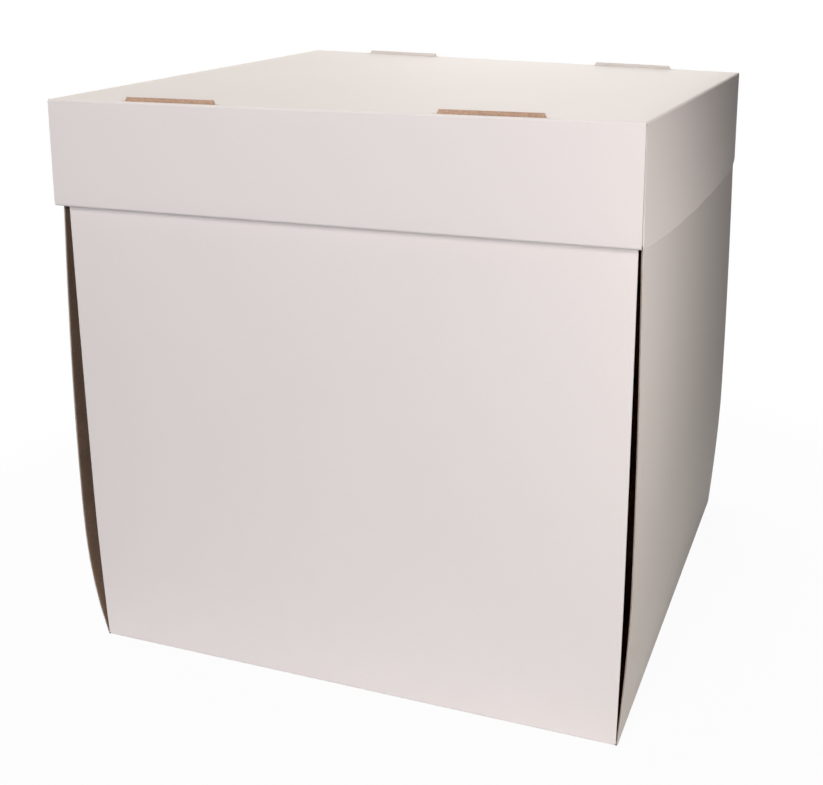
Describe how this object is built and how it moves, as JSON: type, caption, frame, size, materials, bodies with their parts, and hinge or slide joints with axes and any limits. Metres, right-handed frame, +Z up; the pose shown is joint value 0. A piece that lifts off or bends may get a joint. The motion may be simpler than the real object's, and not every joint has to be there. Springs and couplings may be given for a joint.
{
  "type": "tall square cake box with a telescoping lid",
  "caption": "Tall cube-shaped white cardboard cake box: a folded tray with free corners, and a telescoping lid whose rolled cuffs lock with tabs through its top.",
  "frame": {"origin": "middle of the floor's underside, on the surface that the box stands on", "axes": "+Z up, -Y towards the front that the picture shows, +X to the right"},
  "size_m": [0.6269, 0.6, 0.6161],
  "materials": {
    "tray_board": "matte",
    "lid_board": "matte"
  },
  "bodies": {
    "tray": {"tray": "tray_board"},
    "lid": {"lid": "lid_board"}
  },
  "joints": [
    {"name": "lid_lift", "type": "slide", "parent": "tray", "child": "lid", "axis": [0, 0, 1], "range_m": [0, 0.17]}
  ]
}
